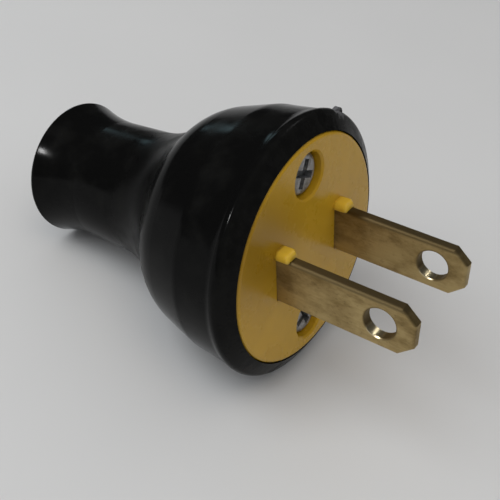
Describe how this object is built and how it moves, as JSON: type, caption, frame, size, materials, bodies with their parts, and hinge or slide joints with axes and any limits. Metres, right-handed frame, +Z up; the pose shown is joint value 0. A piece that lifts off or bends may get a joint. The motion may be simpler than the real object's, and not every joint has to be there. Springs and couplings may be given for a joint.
{
  "type": "electrical plug",
  "caption": "Flat-blade wiring plug at rest on its side: flared moulded shell with a cord bore, insulating face plate with sunk screws, and drilled brass blades.",
  "frame": {"origin": "on the surface that the plug lies on, under the middle of its length", "axes": "+X along the plug towards the blade tips, level with the floor; +Y from the right blade to the left one; +Z up. The plug's own axis climbs towards the blades, because the head is wider than the neck."},
  "size_m": [0.0574, 0.0336, 0.0333],
  "materials": {
    "shell": "black moulded plastic, glossy with light scuffs",
    "face": "mustard yellow moulded plastic, satin and a little grimy",
    "blade": "dull tarnished brass with drawn streaks",
    "terminal": "turned brass",
    "screw": "zinc plated steel"
  },
  "bodies": {
    "root": {"shell": "shell", "face_plate": "face", "blade_right": "blade", "blade_left": "blade", "terminal_screw_right": "terminal", "terminal_screw_left": "terminal", "face_screw_upper": "screw", "face_screw_lower": "screw"}
  },
  "joints": []
}
